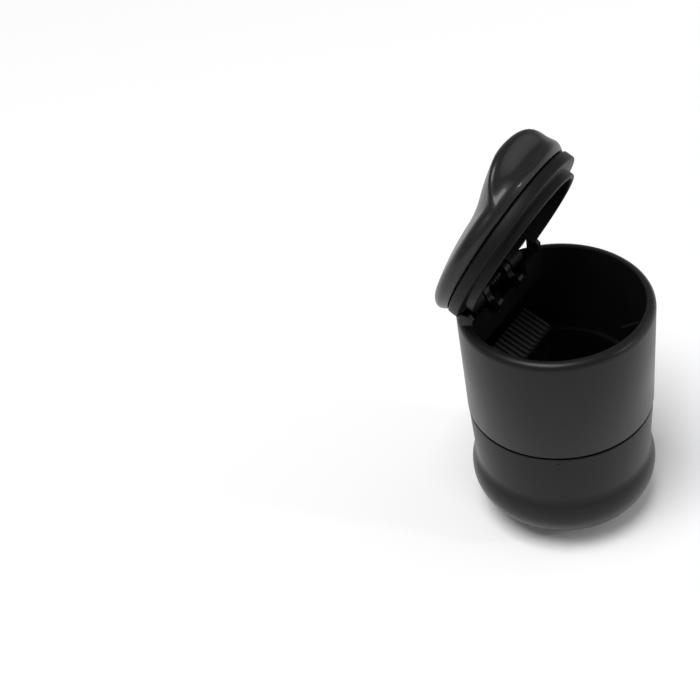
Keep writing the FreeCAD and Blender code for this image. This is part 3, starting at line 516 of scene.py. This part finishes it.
def makeRing(r):
    bm = spinSection([
        (r["inner"], r["lipLow"], r["lipRound"]), (r["lip"], r["lipLow"], r["lipRound"]),
        (r["lip"], r["bandLow"], r["lipRoot"]), (r["band"], r["bandLow"], r["bandRound"]),
        (r["band"], r["bandTop"], r["bandRound"]), (r["collar"], r["bandTop"], 0),
        (r["collar"], r["collarTop"], r["collarRound"]), (r["inner"], r["collarTop"], r["collarRound"])],
        r["turns"])
    piece = toObject(bm, "lidRing")
    cuts = [((-r["far"], r["lipBack"], r["lipCutLow"]), (r["far"], r["far"], r["lipCutTop"])),
            ((-r["bayHalf"], r["bayFront"], 0), (r["bayHalf"], r["bayBack"], r["bayTop"]))]
    for side in (-1, 1):
        left, right = endsOn(side, r["slotStart"], r["far"])
        cuts.append(((left, r["slotFront"], 0), (right, r["slotBack"], r["slotTop"])))
    for low, high in cuts:
        bm = bmesh.new()
        addBlock(bm, low, high)
        carve(piece, toObject(bm, "ringCut"), "DIFFERENCE")
    for side in (-1, 1):
        left, right = endsOn(side, r["bayHalf"], r["bayHalf"] + r["knuckleWidth"])
        bm = bmesh.new()
        addRod(bm, r["knuckle"], left, right, hinge["y"], hinge["z"])
        carve(piece, toObject(bm, "ringKnuckle"), "UNION")
        bm = bmesh.new()
        addBlock(bm, (left, hinge["y"] - r["knuckle"], hinge["z"]),
                 (right, hinge["y"] + r["knuckle"], r["bandTop"]))
        carve(piece, toObject(bm, "knuckleRoot"), "UNION")
    bm = bmesh.new()
    addRod(bm, r["bore"], -r["far"], r["far"], hinge["y"], hinge["z"])
    carve(piece, toObject(bm, "knuckleBore"), "DIFFERENCE")
    turnOpen(piece)
    dress(piece, ringAbs, "lid", "lid_ring")


makeRing(ring)

# lid cap: dome and thumb hump run into each other in soft fillets, with a finger scoop under the hump's lip;
# heights are above the cap's lower edge
cap = dict(turns=240, rows=72, underRows=12, low=99.6, edge=33.2, widest=34.8, widestHeight=3.8, dome=11.0,
           domeRound=106.0, shoulderSoft=3.6, humpForward=41.7, humpHalf=(22.4, 52.2, 15.12), overhang=1.5,
           lipHeight=11.7, lipRound=3.4, lipShare=0.98, crestSoft=1.6, footSoft=2.4, scoopForward=42.7,
           scoopHeight=6.0, scoopHalf=(22.0, 10.0, 6.0), scoopSoft=2.0, pivot=20.0, socket=30.65, socketTop=4.2,
           ceiling=8.4, hollowForward=14.0, hollowHalf=(16.0, 14.0, 9.9), sharpAngle=45)
# search for the cap's skin: first rough section, heights tried over the middle, steps along a ray, halvings
search = dict(roughRadius=10.0, roughRise=20.0, highest=14.0, heights=1401, rayStep=0.5, rayEnd=30.0, halvings=24)


# larger of two distances, with a fillet where they are close
def softMax(a, b, soft):
    near = np.maximum(soft - np.abs(a - b), 0) / soft
    return np.maximum(a, b) + near * near * soft / 4


def softMin(a, b, soft):
    return -softMax(-a, -b, soft)


# about how far a point lies outside an ellipsoid
def offEllipsoid(x, y, z, half):
    one = np.sqrt((x / half[0]) ** 2 + (y / half[1]) ** 2 + (z / half[2]) ** 2)
    two = np.sqrt((x / half[0] ** 2) ** 2 + (y / half[1] ** 2) ** 2 + (z / half[2] ** 2) ** 2)
    return one * (one - 1) / np.maximum(two, 1e-6)


# above zero outside the cap's skin; forward is towards the thumb
def offCap(c, side, forward, height):
    radius = np.hypot(side, forward)
    under = np.clip((c["widestHeight"] - height) / c["widestHeight"], 0, 2)
    tuck = (c["widest"] - c["edge"]) * under ** 2
    flank = radius - c["widest"] + tuck
    roof = height - c["dome"] + radius ** 2 / (2 * c["domeRound"])
    body = softMax(roof, flank, c["shoulderSoft"])
    rise = np.clip((height - c["widestHeight"]) / (c["lipHeight"] - c["widestHeight"]), 0, 1)
    curl = np.clip(height - c["lipHeight"], 0, c["lipShare"] * c["lipRound"])
    front = radius - c["widest"] - c["overhang"] * rise * rise * (3 - 2 * rise) + tuck
    front = front + c["lipRound"] - np.sqrt(c["lipRound"] ** 2 - curl ** 2)
    hump = softMax(offEllipsoid(side, forward - c["humpForward"], height, c["humpHalf"]), front, c["crestSoft"])
    whole = softMin(body, hump, c["footSoft"])
    scoop = offEllipsoid(side, forward - c["scoopForward"], height - c["scoopHeight"], c["scoopHalf"])
    return softMax(whole, -scoop, c["scoopSoft"])


def makeCap(c, s):
    bm = bmesh.new()
    row = bm.verts.layers.int.new("row")
    lastRow = c["rows"] - 1
    underside, socketFoot = -1, -2
    chain = []
    for k in range(c["rows"]):  # skin, from the lower edge over the shoulder to the middle
        angle = math.pi * k / lastRow
        radius = c["pivot"] * (1 + math.cos(angle)) / 2 + s["roughRadius"]
        chain.append((radius, c["low"] + s["roughRise"] * math.sin(angle), k))
    chain[-1] = (0, c["low"] + c["dome"], lastRow)
    for k in range(c["underRows"] + 1):  # underside, from the middle out to the socket wall
        share = k / c["underRows"]
        height = c["ceiling"] - (c["ceiling"] - c["socketTop"]) * share ** 2
        chain.append((c["socket"] * share, c["low"] + height, underside))
    chain.append((c["socket"], c["low"], socketFoot))
    verts = []
    for radius, height, k in chain:
        vert = bm.verts.new((radius * mm, 0, height * mm))
        vert[row] = k
        verts.append(vert)
    for first, second in zip(verts, verts[1:] + verts[:1]):
        if (first[row], second[row]) != (lastRow, underside):
            bm.edges.new((first, second))
    bmesh.ops.spin(bm, geom=bm.verts[:] + bm.edges[:], cent=(0, 0, 0), axis=(0, 0, 1), angle=math.tau,
                   steps=c["turns"], use_merge=True)
    skin = [vert for vert in bm.verts if vert[row] >= 0]
    about = np.array([math.atan2(vert.co.x, -vert.co.y) for vert in skin])
    grid = np.linspace(0, s["highest"], s["heights"])
    top = np.interp(0.0, offCap(c, 0.0, 0.0, grid), grid)  # skin height over the middle
    lean = math.atan2(top, c["pivot"])
    climb = np.array([vert[row] for vert in skin]) / lastRow * (math.pi - lean)
    inside = np.zeros(len(skin))
    outside = np.full(len(skin), np.nan)

    def at(reach):
        radius = c["pivot"] + reach * np.cos(climb)
        return radius * np.sin(about), radius * np.cos(about), reach * np.sin(climb)

    for reach in np.arange(s["rayStep"], s["rayEnd"], s["rayStep"]):  # first crossing of the skin along each ray
        value = offCap(c, *at(np.full(len(skin), reach)))
        fresh = np.isnan(outside) & (value > 0)
        outside[fresh] = reach
        inside[np.isnan(outside)] = reach
    outside[np.isnan(outside)] = c["pivot"] / math.cos(lean)
    for turn in range(s["halvings"]):
        middle = (inside + outside) / 2
        out = offCap(c, *at(middle)) > 0
        outside = np.where(out, middle, outside)
        inside = np.where(out, inside, middle)
    side, forward, height = at((inside + outside) / 2)
    for vert, x, f, h in zip(skin, side, forward, height):
        vert.co = (x * mm, -f * mm, (c["low"] + h) * mm)
    for vert in bm.verts:
        if vert[row] == underside:  # the hump is hollow underneath
            x, f = vert.co.x / mm, -vert.co.y / mm - c["hollowForward"]
            room = 1 - (x / c["hollowHalf"][0]) ** 2 - (f / c["hollowHalf"][1]) ** 2
            if room > 0:
                vert.co.z = max(vert.co.z, (c["low"] + c["hollowHalf"][2] * math.sqrt(room)) * mm)
    piece = toObject(bm, "capShell")
    turnOpen(piece)
    dress(piece, glossAbs, "lid", "lid_cap", c["sharpAngle"])


makeCap(cap, search)

# studio: a white sweep, a wide box overhead, a weak one from the right and a small lamp for a crisp highlight
studio = dict(floorSize=20.0, floorTint="#fdfdfd", skyTint="#ffffff", ambient=0.32)
boxes = dict(
    overhead=dict(azimuth=-95, elevation=72, distance=3.4, width=1.7, height=1.7, power=90),
    frontRight=dict(azimuth=40, elevation=22, distance=1.3, width=1.3, height=1.0, power=2.5),
    highlight=dict(azimuth=14, elevation=26, distance=1.3, width=0.085, height=0.085, power=1.4))


def addBox(name, b):
    light = bpy.data.lights.new(name, "AREA")
    light.shape = "RECTANGLE"
    light.size = b["width"]
    light.size_y = b["height"]
    light.energy = b["power"]
    look = lookFrom(b["azimuth"], b["elevation"])
    place = look.to_3x3() @ Vector((0, 0, b["distance"]))
    lamp = bpy.data.objects.new(name, light)
    lamp.matrix_world = Matrix.Translation(place + Vector((0, 0, shot["aimHeight"]))) @ look
    bpy.context.collection.objects.link(lamp)


for name, b in boxes.items():
    addBox(name, b)

bpy.ops.mesh.primitive_plane_add(size=studio["floorSize"])
floor = bpy.context.object
floor.name = "studioFloor"
floorPaint = newMaterial("whiteSweep")  # matt painted board: plain white that only takes the shadow
white = addNode(floorPaint, "ShaderNodeBsdfDiffuse", {"Color": toLinear(studio["floorTint"])})
addNode(floorPaint, "ShaderNodeOutputMaterial", links={"Surface": white.outputs["BSDF"]})
floor.data.materials.append(floorPaint)

world = bpy.data.worlds.new("studio")
world.use_nodes = True
sky = world.node_tree.nodes["Background"]
sky.inputs["Color"].default_value = toLinear(studio["skyTint"])
sky.inputs["Strength"].default_value = studio["ambient"]
bpy.context.scene.world = world
bpy.context.scene.view_settings.view_transform = "Standard"
print("studio lit")
